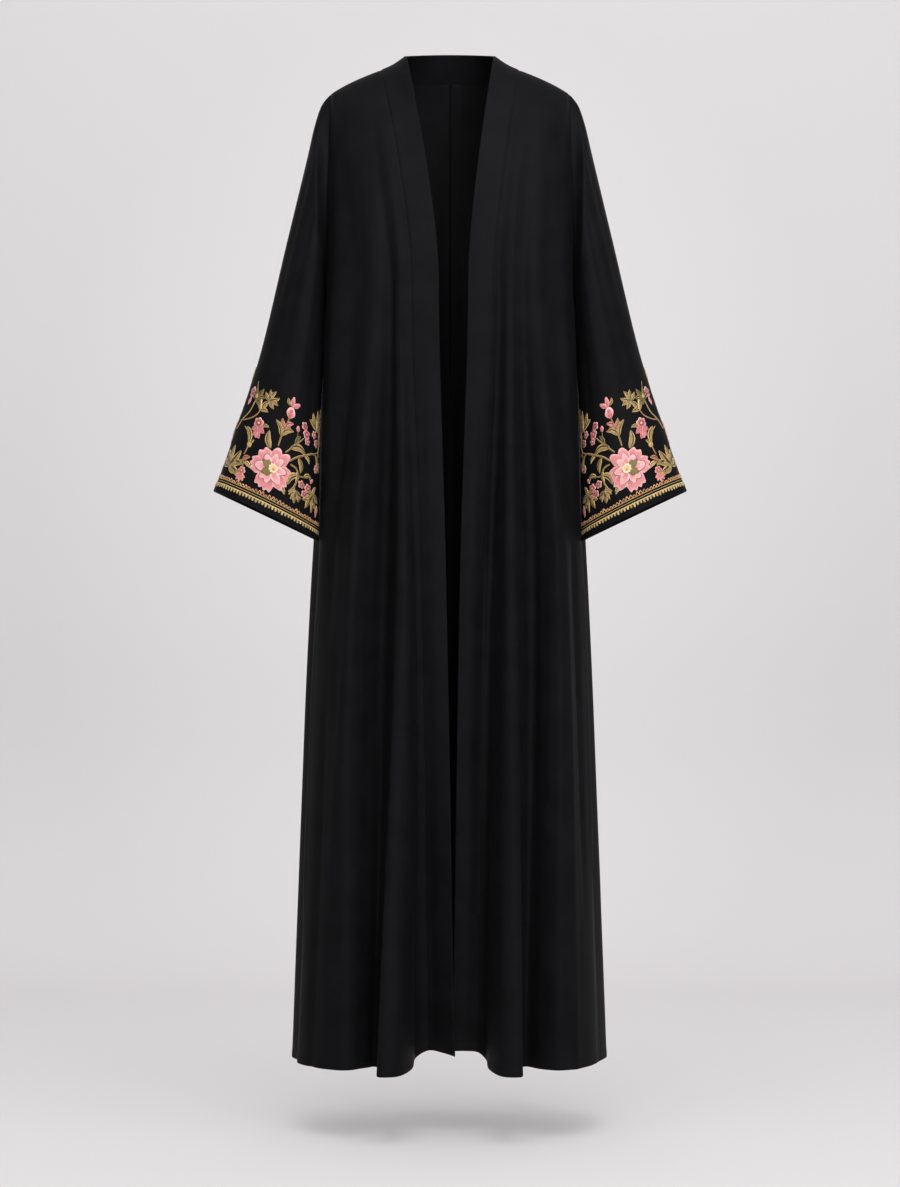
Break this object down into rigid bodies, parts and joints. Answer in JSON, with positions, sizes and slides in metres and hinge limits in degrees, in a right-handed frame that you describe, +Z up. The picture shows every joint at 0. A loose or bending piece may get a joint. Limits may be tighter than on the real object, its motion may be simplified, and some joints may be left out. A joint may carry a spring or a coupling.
{
  "type": "abaya cloak",
  "caption": "Open-front full-length cloak with wide hanging sleeves, embroidered above the cuffs, and a plain band round the neck and down both front edges; worn shape, hollow.",
  "frame": {"origin": "between the wearer's shoulders, at mid height of the shoulder seams, where the wearer carries the garment", "axes": "+Z up, the front faces -Y, the wearer's left side is at +X"},
  "size_m": [0.6874, 0.3357, 1.4808],
  "materials": {
    "front_right_crepe": "matt black crepe",
    "front_left_crepe": "matt black crepe",
    "back_right_crepe": "matt black crepe",
    "back_left_crepe": "matt black crepe",
    "sleeve_right_crepe": "matt black crepe",
    "sleeve_left_crepe": "matt black crepe",
    "band_right_crepe": "matt black crepe",
    "band_left_crepe": "matt black crepe",
    "neck_band_crepe": "matt black crepe"
  },
  "bodies": {
    "root": {"front_right": "front_right_crepe", "front_left": "front_left_crepe", "back_right": "back_right_crepe", "back_left": "back_left_crepe", "sleeve_right": "sleeve_right_crepe", "sleeve_left": "sleeve_left_crepe", "band_right": "band_right_crepe", "band_left": "band_left_crepe", "neck_band": "neck_band_crepe"}
  },
  "joints": []
}
